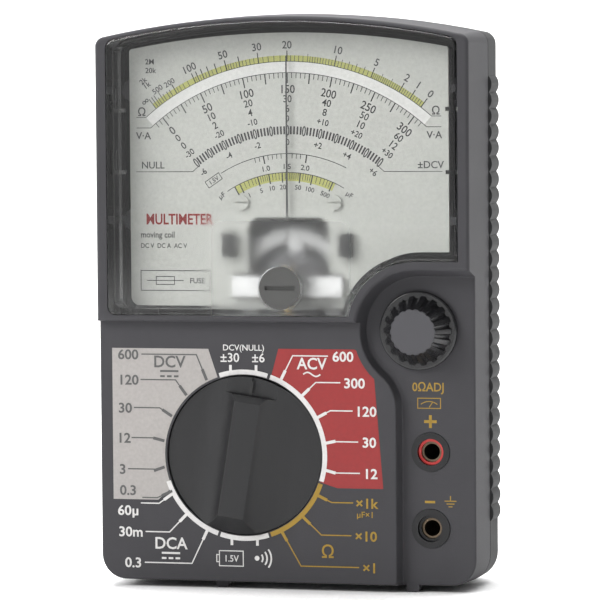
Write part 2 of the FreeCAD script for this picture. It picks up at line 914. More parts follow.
def front_case_holes(body):
    """Holes in the column's floor for the jacks and the zero-ohm shaft."""
    holes = sketch_on(body, "column_holes", COLUMN)
    circle(holes, JACK_X, "jack_minus_z", "jack_well_radius + shaft_clearance")
    circle(holes, JACK_X, "jack_minus_z + jack_spacing", "jack_well_radius + shaft_clearance")
    circle(holes, OHM_X, "ohm_z", "pot_bush_radius + shaft_clearance")
    pocket(body, "column_hole_cuts", holes, "2*case_wall")


def rear_case():
    """The rear shell: straight to the shoulder, then drawn in towards a flat back."""
    body = doc.addObject("PartDesign::Body", "rear_case")
    inset = Sizes.rear_taper_inset
    wall = Sizes.case_wall
    outline = sketch_on(body, "rear_outline", REAR_START)
    draw(outline, case_outline(0))
    pad(body, "rear_straight", outline, "%s - %s" % (REAR_START, SHOULDER), reverse=True)
    shoulder = sketch_on(body, "shoulder_outline", SHOULDER)
    draw(shoulder, case_outline(0))
    back = sketch_on(body, "back_outline", BACK)
    draw(back, case_outline(inset))
    loft(body, "AdditiveLoft", "rear_taper", shoulder, back)
    round_edges(
        body,
        "rear_edge",
        "rear_edge_round",
        lambda edge: flat_at(edge, Sizes.body_depth / 2),
    )
    hollow = sketch_on(body, "rear_hollow_outline", REAR_START)
    draw(hollow, case_outline(wall))
    pocket(body, "rear_hollow", hollow, "%s - %s" % (REAR_START, SHOULDER))
    inner = sketch_on(body, "inner_shoulder_outline", SHOULDER)
    draw(inner, case_outline(wall))
    inner_back = sketch_on(body, "inner_back_outline", "%s + case_wall" % BACK)
    draw(inner_back, case_outline(wall + inset))
    loft(body, "SubtractiveLoft", "rear_taper_hollow", inner, inner_back)
    rear_case_lip(body)
    rear_case_grips(body)
    rear_case_posts(body)
    rear_case_cell_ribs(body)
    add_feet(body, "foot_rear_level")
    doc.recompute()
    return as_node(body, "rear_case")


def rear_case_lip(body):
    """The tongue that reaches inside the front case and closes the parting groove."""
    lip_outer = Sizes.case_wall + Sizes.lip_gap
    lip_inner = lip_outer + Sizes.lip_wall
    root = sketch_on(body, "lip_root_outline", "%s - 2*case_wall" % REAR_START)
    draw(root, case_outline(Sizes.case_wall / 2), case_outline(lip_inner))
    pad(body, "lip_root", root, "2*case_wall")
    tongue = sketch_on(body, "lip_outline", REAR_START)
    draw(tongue, case_outline(lip_outer), case_outline(lip_inner))
    pad(body, "lip", tongue, "parting_groove + lip_reach")


def rear_case_grips(body):
    """A column of rounded finger ridges down each long side."""
    half = Sizes.body_width / 2 - Sizes.grip_proud
    peak = Sizes.body_width / 2
    valley = peak - Sizes.grip_relief
    root = half - Sizes.case_wall / 4
    low = Sizes.grip_low
    high = low + Sizes.grip_pitch
    middle = (low + high) / 2
    sketch = sketch_on(body, "grip_outline", REAR_START)
    right = [((root, low),), ((valley, low), (peak, middle), (valley, high)), ((root, high),)]
    left = [tuple((-x, z) for x, z in stretch) for stretch in right]
    draw(sketch, right, left)
    ridge = pad(body, "grip_ridge", sketch, "grip_depth", reverse=True)
    doc.recompute()
    pattern = body.newObject("PartDesign::LinearPattern", "grip_ridges")
    pattern.Originals = [ridge]
    pattern.Direction = (body_plane(body, "Z_Axis"), [""])
    pattern.setExpression("Length", formula("grip_pitch*(grip_count - 1)"))
    pattern.setExpression("Occurrences", formula("grip_count"))
    body.Tip = pattern


def rear_case_posts(body):
    """Tubes that lead the case screws from the back to the front case's posts."""
    wall_inside = "%s + case_wall/2" % BACK
    seat = "%s + case_screw_sink" % BACK
    tubes = sketch_on(body, "tube_outline", wall_inside)
    for x, z in screw_places():
        circle(tubes, x, z, "post_radius")
    pad(body, "tubes", tubes, "%s - (%s)" % (BOARD_BACK, wall_inside))
    sinks = sketch_on(body, "sink_outline", BACK)
    for x, z in screw_places():
        circle(sinks, x, z, "case_screw_head_radius + shaft_clearance")
    pocket(body, "sinks", sinks, "case_screw_sink", reverse=True)
    holes = sketch_on(body, "screw_hole_outline", seat)
    for x, z in screw_places():
        circle(holes, x, z, "case_screw_radius + 2*shaft_clearance")
    pocket(body, "screw_holes", holes, "body_depth/2", reverse=True)


def rear_case_cell_ribs(body):
    """An upright rib behind each end of the two cells, which holds the contacts."""
    low = Sizes.cell_low_z - Sizes.cell_radius
    high = Sizes.cell_low_z + Sizes.cell_pitch + Sizes.cell_radius
    near = cell_reach()
    far = near + Sizes.cell_rib_wall
    ribs = sketch_on(body, "cell_rib_outline", "%s + case_wall/2" % BACK)
    for sign in (-1, 1):
        draw(
            ribs,
            [
                ((sign * near, low),),
                ((sign * far, low),),
                ((sign * far, high),),
                ((sign * near, high),),
            ],
        )
    pad(body, "cell_ribs", ribs, "2*cell_radius")


def cell_reach():
    """Half the room between the two cell ribs."""
    cell = Sizes.cell_length + Sizes.cell_nub_length
    return cell / 2 + Sizes.cell_spring_space / 2 + Sizes.cell_contact_thickness


def case_screws():
    """Four screws from the back, deep in the rear case's tubes."""
    seat = "%s + case_screw_sink" % BACK
    sizes = ("case_screw_length", "case_screw_radius - shaft_clearance")
    head = ("case_screw_head_radius - shaft_clearance", "case_screw_head_thickness")
    screws = [
        screw("case_screw_%d" % number, x, z, seat, *sizes, *head, -1)
        for number, (x, z) in enumerate(screw_places(), start=1)
    ]
    return as_node(group("case_screws", *screws), "case_screws")


# The clear cover and the scale


def meter_cover():
    """The clear cover: a shallow box with a boss round the zero adjuster and four snap tabs."""
    body = doc.addObject("PartDesign::Body", "meter_cover")
    foot = "%s + cover_gap" % PLATE
    outline = sketch_on(body, "cover_outline", foot)
    draw(outline, window_outline(0))
    pad(body, "cover_block", outline, "%s - (%s)" % (COVER, foot))
    front = Sizes.body_depth / 2 - Sizes.bar_proud + Sizes.cover_proud
    round_edges(body, "cover_edge", "cover_edge_round", lambda edge: flat_at(edge, -front))
    inside = sketch_on(body, "cover_inside_outline", foot)
    draw(inside, window_outline(Sizes.cover_wall))
    pocket(body, "cover_inside", inside, "%s - cover_wall - (%s)" % (COVER, foot), reverse=True)
    boss = sketch_on(body, "boss_outline", "%s - cover_wall - adjuster_thickness" % COVER)
    circle(boss, "0", PIVOT_Z, "adjuster_boss_radius")
    pad(body, "boss", boss, "cover_wall + adjuster_thickness + adjuster_boss_proud")
    sink = sketch_on(body, "adjuster_sink_outline", "%s + adjuster_boss_proud" % COVER)
    circle(sink, "0", PIVOT_Z, "adjuster_radius + shaft_clearance")
    pocket(body, "adjuster_sink", sink, "adjuster_thickness")
    hole = sketch_on(body, "adjuster_hole_outline", COVER)
    circle(hole, "0", PIVOT_Z, "adjuster_stem_radius + shaft_clearance")
    pocket(body, "adjuster_hole", hole, "cover_wall + 2*adjuster_thickness")
    cover_tabs(body)
    doc.recompute()
    return as_node(body, "meter_cover")


def cover_tabs(body):
    """Snap tabs behind the block's side walls, and the moulded ribs on the cover's inner sides."""
    half = Sizes.body_width / 2 - Sizes.grip_proud - Sizes.cover_side_margin
    tabs = sketch_on(body, "tab_outline", "%s - cover_flange_setback - cover_flange_thickness" % FRONT)
    ribs = sketch_on(body, "rib_outline", "%s + 2*cover_gap" % PLATE)
    low = Sizes.cover_rib_low
    high = Sizes.cover_rib_high
    length = Sizes.cover_flange_thickness * 5
    for sign in (-1, 1):
        inner = sign * (half - Sizes.cover_wall / 2)
        outer = sign * (half + Sizes.cover_flange)
        reach = sign * (half - Sizes.cover_wall - Sizes.cover_rib_reach)
        for z in (low, high):
            draw(tabs, [((inner, z),), ((outer, z),), ((outer, z + length),), ((inner, z + length),)])
            top = z + Sizes.cover_rib_width
            draw(ribs, [((inner, z),), ((inner, top),), ((reach, top),), ((reach, z),)])
    pad(body, "tabs", tabs, "cover_flange_thickness")
    pad(body, "ribs", ribs, "plate_setback - cover_wall")


def plate_outline():
    """The scale plate seen from the front, inside the cover's walls."""
    half = Sizes.body_width / 2 - Sizes.grip_proud - Sizes.cover_side_margin - Sizes.cover_wall
    half -= Sizes.plate_side_gap
    gap = Sizes.cover_wall + Sizes.plate_bottom_gap
    whole = window_outline(gap)
    notch_arc = whole[0]
    ohm_x, ohm_z = ohm_center()
    top_inset = Sizes.cover_top_margin + Sizes.cover_wall + Sizes.plate_top_gap
    crown = crown_arcs(
        half,
        Sizes.body_height - top_inset,
        Sizes.crown_radius - top_inset,
        Sizes.plate_thickness,
    )
    corner = Sizes.smallest_corner
    bottom = notch_arc[0][1]
    return [
        notch_arc,
        ((half, notch_arc[-1][1]),),
        *crown,
        arc(corner - half, bottom + corner, corner, 180, 270),
    ]


def plate_window():
    """The opening round the pointer's root: an upright window with a slot for the bridge's legs."""
    pivot = Sizes.block_bottom + Sizes.pivot_rise
    half = Sizes.plate_window_half_width
    slot = Sizes.plate_slot_half_width
    low = pivot - Sizes.plate_slot_half_height
    high = pivot + Sizes.plate_slot_half_height
    top = Sizes.plate_window_top
    corner = Sizes.plate_window_corner
    return [
        ((-slot, low),),
        ((slot, low),),
        ((slot, high),),
        ((half, high),),
        arc(half - corner, top - corner, corner, 0, 90),
        arc(corner - half, top - corner, corner, 90, 180),
        ((-half, high),),
        ((-slot, high),),
    ]


def scale_plate():
    body = doc.addObject("PartDesign::Body", "scale_plate")
    outline = sketch_on(body, "plate_outline", "%s - plate_thickness" % PLATE)
    draw(outline, plate_outline(), plate_window())
    pad(body, "plate", outline, "plate_thickness")
    holes = sketch_on(body, "plate_holes", PLATE)
    for side in ("-plate_screw_x", "plate_screw_x"):
        circle(holes, side, "%s + plate_screw_rise" % PIVOT_Z, "small_screw_radius + shaft_clearance")
    pocket(body, "plate_hole_cuts", holes, "2*plate_thickness")
    doc.recompute()
    return as_node(body, "scale_plate")


def pointer_stops():
    """Two blocks on the scale plate that end the pointer's travel."""
    low = "%s + stop_rise" % PIVOT_Z
    limits = (PLATE, "%s + stop_thickness" % PLATE, low, low + " + stop_height")
    right = block("stop_right", "stop_inner_x", "stop_inner_x + stop_width", *limits)
    left = block("stop_left", "-stop_inner_x - stop_width", "-stop_inner_x", *limits)
    return as_node(group("pointer_stops", left, right), "pointer_stops")


def scale_plate_screws():
    sizes = ("small_screw_length", "small_screw_radius", "small_screw_head_radius")
    screws = [
        screw(
            "plate_screw_" + name,
            x,
            "%s + plate_screw_rise" % PIVOT_Z,
            PLATE,
            *sizes,
            "small_screw_head_thickness",
            1,
        )
        for name, x in (("left", "-plate_screw_x"), ("right", "plate_screw_x"))
    ]
    return as_node(group("scale_plate_screws", *screws), "scale_plate_screws")


# The moving-coil meter. Its parts are stacked outwards from the middle of the magnet core.

COIL_INNER_END = "(core_length/2 + coil_end_gap)"
COIL_OUTER_END = "(core_length/2 + coil_end_gap + coil_side)"
COIL_INNER_X = "(core_radius + coil_gap)"
COIL_OUTER_X = "(core_radius + coil_gap + coil_side)"
YOKE_INNER = "(core_radius + coil_gap + coil_side + yoke_gap)"
YOKE_OUTER = "(core_radius + coil_gap + coil_side + yoke_gap + yoke_wall)"
HUB_END = "(core_length/2 + coil_end_gap + coil_side + hub_thickness)"
NOSE_END = "(core_length/2 + coil_end_gap + coil_side + hub_thickness + jewel_stand_off)"
BRIDGE_NEAR = "(core_length/2 + coil_end_gap + coil_side + hub_thickness + bridge_stand_off)"
BRIDGE_FAR = (
    "(core_length/2 + coil_end_gap + coil_side + hub_thickness + bridge_stand_off + bridge_thickness)"
)


def between(offset_near, offset_far, facing):
    """Back and front levels of a slice of the meter, in front of its middle or mirrored behind it."""
    if facing > 0:
        return "%s + (%s)" % (MIDDLE, offset_near), "%s + (%s)" % (MIDDLE, offset_far)
    return "%s - (%s)" % (MIDDLE, offset_far), "%s - (%s)" % (MIDDLE, offset_near)


def magnet_core():
    item = rod("magnet_core", "0", PIVOT_Z, *between("-core_length/2", "core_length/2", 1), "core_radius")
    return as_node(item, "magnet_core")


def yoke_ring():
    levels = between("-core_length/2", "core_length/2", 1)
    return as_node(ring("yoke_ring", "0", PIVOT_Z, *levels, YOKE_OUTER, YOKE_INNER), "yoke_ring")


def core_straps():
    """Two struts that hold the core in the ring, above and below the coil's swing."""
    levels = between("-core_length/2 + core_length/6", "core_length/2 - core_length/6", 1)
    bar = block(
        "strap_bar",
        "-hub_radius",
        "hub_radius",
        *levels,
        "%s - %s" % (PIVOT_Z, YOKE_OUTER),
        "%s + %s" % (PIVOT_Z, YOKE_OUTER),
    )
    gap = ring("strap_gap", "0", PIVOT_Z, *levels, YOKE_INNER, "core_radius")
    return as_node(common("core_straps", bar, gap), "core_straps")


def moving_coil():
    """A rectangular winding that turns in the gap between the core and the ring."""
    outer = block(
        "coil_outer",
        "-" + COIL_OUTER_X,
        COIL_OUTER_X,
        *between("-" + COIL_OUTER_END, COIL_OUTER_END, 1),
        "%s - coil_band/2" % PIVOT_Z,
        "%s + coil_band/2" % PIVOT_Z,
    )
    inner = block(
        "coil_inner",
        "-" + COIL_INNER_X,
        COIL_INNER_X,
        *between("-" + COIL_INNER_END, COIL_INNER_END, 1),
        "%s - coil_band" % PIVOT_Z,
        "%s + coil_band" % PIVOT_Z,
    )
    return as_node(cut("moving_coil", outer, inner), "moving_coil")


def coil_pivots():
    """Steel pivot pins with their collets; the rear one stands on its own round foot."""
    solids = []
    for name, facing in (("front", 1), ("rear", -1)):
        foot = HUB_END if facing > 0 else COIL_OUTER_END
        pin_levels = between(foot, "%s + pivot_reach" % HUB_END, facing)
        collet_levels = between(foot, "%s + jewel_stand_off*3/4" % HUB_END, facing)
        pin = rod("pivot_pin_" + name, "0", PIVOT_Z, *pin_levels, "pivot_radius")
        collet_radius = "spring_inner_radius - pivot_clearance"
        collet = rod("pivot_collet_" + name, "0", PIVOT_Z, *collet_levels, collet_radius)
        parts = [pin, collet]
        if facing < 0:
            hub_levels = between(COIL_OUTER_END, HUB_END, facing)
            parts.append(rod("pivot_hub_" + name, "0", PIVOT_Z, *hub_levels, "hub_radius"))
        solids.append(fuse("pivot_" + name, *parts))
    return as_node(group("coil_pivots", *solids), "coil_pivots")


def spiral_outline():
    """A flat spiral strip of half circles whose centres alternate, seen from the front."""
    pitch = Sizes.spring_pitch
    strip = Sizes.spring_strip
    pivot = Sizes.block_bottom + Sizes.pivot_rise
    outer = []
    inner = []
    radius = Sizes.spring_inner_radius + strip
    for half_turn in range(2 * Sizes.spring_turns):
        upper = half_turn % 2 == 0
        center = 0.0 if upper else pitch / 2
        start = 0 if upper else 180
        outer.append(arc(center, pivot, radius, start, start + 180))
        inner.append(arc(center, pivot, radius - strip, start, start + 180))
        radius += pitch / 2
    back = [tuple(reversed(stretch)) for stretch in reversed(inner)]
    return outer + back


def hairspring(name, facing):
    """A spiral spring between the coil's collet and its anchor."""
    body = doc.addObject("PartDesign::Body", name)
    near, far = between(
        "%s + spring_stand_off" % HUB_END, "%s + spring_stand_off + spring_width" % HUB_END, facing
    )
    sketch = sketch_on(body, name + "_outline", near)
    draw(sketch, spiral_outline())
    pad(body, name + "_strip", sketch, "spring_width")
    doc.recompute()
    return as_node(body, name)


def bridge(name, facing):
    """A strap across the ring that carries the jewel screw."""
    bar = block(
        name + "_bar",
        "-" + YOKE_OUTER,
        YOKE_OUTER,
        *between(BRIDGE_NEAR, BRIDGE_FAR, facing),
        "%s - bridge_half_height" % PIVOT_Z,
        "%s + bridge_half_height" % PIVOT_Z,
    )
    legs = []
    for side, low, high in (
        ("left", "-" + YOKE_OUTER, "-%s + bridge_leg_width" % YOKE_OUTER),
        ("right", "%s - bridge_leg_width" % YOKE_OUTER, YOKE_OUTER),
    ):
        legs.append(
            block(
                name + "_leg_" + side,
                low,
                high,
                *between("core_length/2", BRIDGE_FAR, facing),
                "%s - bridge_half_height" % PIVOT_Z,
                "%s + bridge_half_height" % PIVOT_Z,
            )
        )
    hole = rod(
        name + "_hole",
        "0",
        PIVOT_Z,
        *between(NOSE_END, "%s + bridge_thickness" % BRIDGE_FAR, facing),
        "jewel_nose_radius",
    )
    return as_node(cut(name, fuse(name + "_strap", bar, *legs), hole), name)


def jewel_screws():
    """The slotted screws whose cupped noses carry the pivots."""
    solids = []
    for name, facing in (("front", 1), ("rear", -1)):
        nose = rod(
            "jewel_nose_" + name, "0", PIVOT_Z, *between(NOSE_END, BRIDGE_FAR, facing), "jewel_nose_radius"
        )
        top = "%s + jewel_head_thickness" % BRIDGE_FAR
        head_levels = between(BRIDGE_FAR, top, facing)
        head = rod("jewel_head_" + name, "0", PIVOT_Z, *head_levels, "jewel_head_radius")
        cup = rod(
            "jewel_cup_" + name,
            "0",
            PIVOT_Z,
            *between("%s - jewel_stand_off" % NOSE_END, "%s + jewel_stand_off*5/4" % NOSE_END, facing),
            "pivot_radius + pivot_clearance",
        )
        slot = block(
            "jewel_slot_" + name,
            "-jewel_head_radius",
            "jewel_head_radius",
            *between("%s - screw_slot_depth" % top, top, facing),
            "%s - screw_slot_width/2" % PIVOT_Z,
            "%s + screw_slot_width/2" % PIVOT_Z,
        )
        solids.append(cut("jewel_screw_" + name, fuse("jewel_blank_" + name, nose, head), cup, slot))
    return as_node(group("jewel_screws", *solids), "jewel_screws")


def zero_lever():
    """The forked lever round the front jewel screw that shifts the front hairspring's anchor."""
    back = "%s + jewel_stand_off*5/4" % HUB_END
    levels = between(back, back + " + lever_thickness", 1)
    disc = rod("lever_disc", "0", PIVOT_Z, *levels, "lever_ring_radius")
    arm = block(
        "lever_arm",
        "-lever_arm_width/2",
        "lever_arm_width/2",
        *levels,
        PIVOT_Z,
        "%s + lever_reach" % PIVOT_Z,
    )
    bore = rod("lever_bore", "0", PIVOT_Z, *levels, "jewel_nose_radius + lever_clearance")
    slot = block(
        "lever_slot",
        "-adjuster_pin_radius - lever_clearance",
        "adjuster_pin_radius + lever_clearance",
        *levels,
        "%s + adjuster_pin_offset - adjuster_pin_radius - lever_clearance" % PIVOT_Z,
        "%s + 2*lever_reach" % PIVOT_Z,
    )
    return as_node(cut("zero_lever", fuse("lever_blank", disc, arm), bore, slot), "zero_lever")


def pointer():
    """The needle: a hub on the coil, a low arm, a riser and a tapered blade over the scale."""
    hub_levels = between(COIL_OUTER_END, HUB_END, 1)
    needle_back = "%s + pointer_gap" % PLATE
    needle_front = "%s + pointer_gap + pointer_arm_thickness" % PLATE
    arm_front = "%s + pointer_arm_thickness" % hub_levels[0]
    hub = rod("pointer_hub", "0", PIVOT_Z, *hub_levels, "hub_radius")
    arm = block(
        "pointer_arm",
        "-pointer_arm_width/2",
        "pointer_arm_width/2",
        hub_levels[0],
        arm_front,
        "%s + hub_radius/2" % PIVOT_Z,
        "%s + pointer_riser" % PIVOT_Z,
    )
    riser = block(
        "pointer_riser",
        "-pointer_root_width/2",
        "pointer_root_width/2",
        hub_levels[0],
        needle_front,
        "%s + pointer_riser - pointer_arm_thickness" % PIVOT_Z,
        "%s + pointer_riser" % PIVOT_Z,
    )
    blade = pointer_blade(needle_back)
    arms = [
        spoke(name, clock, "0", "balance_arm_reach", "balance_arm_width/2", hub_levels[0], arm_front)
        for name, clock in balance_spokes("balance_arm_")
    ]
    return as_node(fuse("pointer", hub, arm, riser, blade, *arms), "pointer")


def spoke(name, clock, low, high, half_width, back, front):
    """A straight bar that points away from the pointer's axis at a clock angle."""
    item = doc.addObject("Part::Box", name)
    item.Placement = Placement(Vector(), Rotation(Vector(0, 1, 0), 1))
    return bind(
        item,
        {
            "Length": "2*(%s)" % half_width,
            "Width": "(%s) - (%s)" % (front, back),
            "Height": "(%s) - (%s)" % (high, low),
            "Placement.Rotation.Angle": clock,
            "Placement.Base.x": "-(%s)*cos(%s*1deg) + (%s)*sin(%s*1deg)" % (half_width, clock, low, clock),
            "Placement.Base.y": "-(%s)" % front,
            "Placement.Base.z": "%s + (%s)*sin(%s*1deg) + (%s)*cos(%s*1deg)"
            % (PIVOT_Z, half_width, clock, low, clock),
        },
    )


def balance_spokes(prefix):
    """The names and clock angles of the three arms opposite the needle."""
    return (
        (prefix + "right", "(180 - balance_spread)"),
        (prefix + "tail", "180"),
        (prefix + "left", "(180 + balance_spread)"),
    )


def pointer_blade(level):
    """The tapered blade as a thin wedge that narrows towards its tip."""
    root = Sizes.pointer_root_width / 2
    tip = Sizes.pointer_tip_width / 2
    pivot = Sizes.block_bottom + Sizes.pivot_rise
    low = pivot + Sizes.pointer_riser - Sizes.pointer_arm_thickness
    high = pivot + Sizes.pointer_length
    body = doc.addObject("PartDesign::Body", "pointer_blade_body")
    sketch = sketch_on(body, "blade_outline", level)
    draw(sketch, [((-root, low),), ((root, low),), ((tip, high),), ((-tip, high),)])
    pad(body, "blade", sketch, "pointer_arm_thickness")
    return body


def balance_weights():
    """Three small weights threaded on the pointer's balance arms."""
    back, front = between(COIL_OUTER_END, "%s + pointer_arm_thickness" % COIL_OUTER_END, 1)
    start = "(balance_arm_reach - balance_weight_length)"
    solids = []
    for name, clock in balance_spokes("weight_"):
        weight = doc.addObject("Part::Cylinder", name)
        weight.Placement = Placement(Vector(), Rotation(Vector(0, 1, 0), 1))
        bind(
            weight,
            {
                "Radius": "balance_weight_radius",
                "Height": "balance_weight_length",
                "Placement.Rotation.Angle": clock,
                "Placement.Base.x": "%s*sin(%s*1deg)" % (start, clock),
                "Placement.Base.y": "-((%s) + (%s))/2" % (back, front),
                "Placement.Base.z": "%s + %s*cos(%s*1deg)" % (PIVOT_Z, start, clock),
            },
        )
        bore = spoke(name + "_bore", clock, "0", "2*balance_arm_reach", "balance_arm_width/2", back, front)
        solids.append(cut(name + "_nut", weight, bore))
    return as_node(group("balance_weights", *solids), "balance_weights")


def movement_frame():
    """The moulded frame that holds the ring, with arms to the case and pillars for the scale."""
    middle_levels = between("-frame_half_thickness", "frame_half_thickness", 1)
    plate = block(
        "frame_plate",
        "-frame_half_width",
        "frame_half_width",
        *middle_levels,
        "%s - frame_drop" % PIVOT_Z,
        "%s + frame_lift" % PIVOT_Z,
    )
    reach = "(%s - case_screw_side_margin + frame_arm_half_height)" % CASE_HALF
    screw_z = "(%s + frame_screw_rise)" % PIVOT_Z
    arms = block(
        "frame_arms",
        "-" + reach,
        reach,
        *middle_levels,
        "%s - frame_arm_half_height" % screw_z,
        "%s + frame_arm_half_height" % screw_z,
    )
    pillars = []
    tools = [rod("frame_eye", "0", PIVOT_Z, *middle_levels, "%s + shaft_clearance" % YOKE_OUTER)]
    for name, sign in (("left", "-"), ("right", "")):
        pillar_levels = between("frame_half_thickness", "%s - plate_thickness - (%s)" % (PLATE, MIDDLE), 1)
        place = (sign + "plate_screw_x", "%s + plate_screw_rise" % PIVOT_Z)
        pillars.append(rod("pillar_" + name, *place, *pillar_levels, "pillar_radius"))
        pilot = "small_screw_radius + shaft_clearance"
        tools.append(rod("pillar_bore_" + name, *place, *pillar_levels, pilot))
        screw_x = "%s(%s - case_screw_side_margin)" % (sign, CASE_HALF)
        hole_radius = "case_screw_radius + shaft_clearance"
        tools.append(rod("frame_screw_hole_" + name, screw_x, screw_z, *middle_levels, hole_radius))
        terminal_place = (sign + "terminal_x", "%s - terminal_drop" % PIVOT_Z)
        tools.append(rod("terminal_hole_" + name, *terminal_place, *middle_levels, "terminal_radius"))
    blank = fuse("frame_blank", plate, arms, *pillars)
    return as_node(cut("movement_frame", blank, *tools), "movement_frame")


def meter_terminals():
    """Two solder pins through the frame for the coil's leads."""
    levels = between("-2*frame_half_thickness", "frame_half_thickness + terminal_radius*2", 1)
    z = "%s - terminal_drop" % PIVOT_Z
    pins = [
        rod("terminal_" + name, sign + "terminal_x", z, *levels, "terminal_radius")
        for name, sign in (("left", "-"), ("right", ""))
    ]
    return as_node(group("meter_terminals", *pins), "meter_terminals")


def movement_screws():
    """Two screws from behind that hold the meter's frame to the front case."""
    seat = "%s - frame_half_thickness" % MIDDLE
    sizes = ("frame_screw_length", "case_screw_radius - shaft_clearance")
    head = ("case_screw_head_radius - shaft_clearance", "case_screw_head_thickness")
    screws = [
        screw(
            "movement_screw_" + name,
            "%s(%s - case_screw_side_margin)" % (sign, CASE_HALF),
            "(%s + frame_screw_rise)" % PIVOT_Z,
            seat,
            *sizes,
            *head,
            -1,
        )
        for name, sign in (("left", "-"), ("right", ""))
    ]
    return as_node(group("movement_screws", *screws), "movement_screws")


def zero_adjuster():
    """The slotted zero screw in the cover, with a flange and an off-centre pin behind it."""
    top = "%s + cover_proud/2" % COVER
    seat = "%s - adjuster_thickness + adjuster_boss_proud" % COVER
    inner_face = "%s - cover_wall - adjuster_thickness" % COVER
    flange_back = "%s - adjuster_slot_width" % inner_face
    lever_back = between("%s + jewel_stand_off*5/4" % HUB_END, HUB_END, 1)[0]
    head = rod("adjuster_head", "0", PIVOT_Z, "%s + lever_clearance/2" % seat, top, "adjuster_radius")
    stem = rod("adjuster_stem", "0", PIVOT_Z, flange_back, top, "adjuster_stem_radius")
    flange_front = "%s - lever_clearance/2" % inner_face
    flange_radius = "adjuster_pin_offset + adjuster_pin_radius + lever_clearance"
    flange = rod("adjuster_flange", "0", PIVOT_Z, flange_back, flange_front, flange_radius)
    pin = rod(
        "adjuster_pin",
        "0",
        "%s + adjuster_pin_offset" % PIVOT_Z,
        "%s + lever_clearance" % lever_back,
        flange_back + " + lever_clearance",
        "adjuster_pin_radius",
    )
    slot = block(
        "adjuster_slot",
        "-adjuster_slot_length/2",
        "adjuster_slot_length/2",
        "%s - adjuster_slot_depth" % top,
        top,
        "%s - adjuster_slot_width/2" % PIVOT_Z,
        "%s + adjuster_slot_width/2" % PIVOT_Z,
    )
    blank = fuse("adjuster_blank", head, stem, flange, pin)
    return as_node(cut("zero_adjuster", blank, slot), "zero_adjuster")


# The range switch, modelled about its own axis with the bar upright, then put in place and turned


def on_knob(item):
    """Puts a part of the range switch on its axis, turned to the set position."""
    item.Placement = Placement(Vector(), Rotation(Vector(0, 1, 0), 1))
    return bind(
        item,
        {
            "Placement.Base.x": "knob_x",
            "Placement.Base.z": "knob_z",
            "Placement.Rotation.Angle": "knob_bar_angle",
        },
    )


WELL_FLOOR = "(%s - knob_well_depth)" % PANEL
WELL_BACK = "(%s - knob_well_depth - case_wall)" % PANEL
ROTOR_BACK = "(%s + rotor_gap)" % BOARD
ROTOR_FRONT = "(%s + rotor_gap + rotor_thickness)" % BOARD


def knob_fronts():
    """The levels of the knob disc's front and of the bar's, as plain numbers."""
    panel = Sizes.body_depth / 2 - Sizes.bar_proud - Sizes.panel_step
    return panel - Sizes.knob_disc_sink, panel + Sizes.knob_bar_proud


def range_knob():
    """The range knob: a flat disc with a tall bar whose flanks sweep down to the rim."""
    body = doc.addObject("PartDesign::Body", "range_knob")
    front = knob_fronts()[1]
    radius = Sizes.knob_radius
    disc = sketch_on(body, "knob_disc_outline", "%s + knob_gap" % WELL_FLOOR)
    circle(disc, "0", "0", "knob_radius")
    pad(body, "knob_disc", disc, "%s - knob_gap - %s" % (KNOB_DISC, WELL_FLOOR))
    section = sketch_on(body, "knob_bar_section", "0", role="XY_Plane")
    draw(section, knob_bar_section())
    pad(body, "knob_bar", section, "2*knob_radius", middle=True)
    side = sketch_on(body, "knob_side_outline", "0", role="YZ_Plane")
    draw(side, *knob_side_cuts(front, radius))
    pocket(body, "knob_ends", side, "4*knob_radius", middle=True)
    trim = sketch_on(body, "knob_trim_outline", KNOB_BAR)
    circle(trim, "0", "0", "knob_radius")
    circle(trim, "0", "0", "2*knob_radius")
    pocket(body, "knob_trim", trim, "%s - %s" % (KNOB_BAR, WELL_FLOOR))
    round_edges(body, "knob_bar_edge", "step_edge_round", knob_top_edge)
    mark = sketch_on(body, "knob_mark_outline", KNOB_BAR)
    half = Sizes.knob_index_slot_width / 2
    low = radius - Sizes.knob_index_length + Sizes.knob_index_slot_width
    high = radius + Sizes.knob_index_slot_width
    draw(mark, [((-half, low),), ((half, low),), ((half, high),), ((-half, high),)])
    pocket(body, "knob_mark", mark, "knob_index_drop + knob_index_slot_depth")
    stem = sketch_on(body, "knob_stem_outline", ROTOR_FRONT)
    circle(stem, "0", "0", "knob_stem_radius")
    pad(body, "knob_stem", stem, "%s + knob_disc_thickness/2 - %s" % (WELL_FLOOR, ROTOR_FRONT))
    bore = sketch_on(body, "knob_bore_outline", ROTOR_FRONT)
    circle(bore, "0", "0", "rotor_screw_radius")
    pocket(body, "knob_bore", bore, "rotor_screw_length", reverse=True)
    doc.recompute()
    return as_node(on_knob(body), "range_knob")


def knob_bar_section():
    """The bar cut across: a flat top and two hollow flanks that run out level with the disc."""
    half = Sizes.knob_bar_half_width
    reach = Sizes.knob_flank_reach
    base, front = knob_fronts()
    floor = base - Sizes.knob_disc_thickness / 2
    across = reach - half
    rise = front - base
    radius = (across ** 2 + rise ** 2) / (2 * rise)
    steep = math.degrees(math.atan2(front - base - radius, -across))
    right = arc(reach, base + radius, radius, 360 + steep if steep < 0 else steep, 270)
    flank_right = tuple((x, -level) for x, level in right)
    flank_left = tuple((-x, -level) for x, level in reversed(right))
    return [((-half, -front),), flank_right, ((reach, -floor),), ((-reach, -floor),), flank_left]


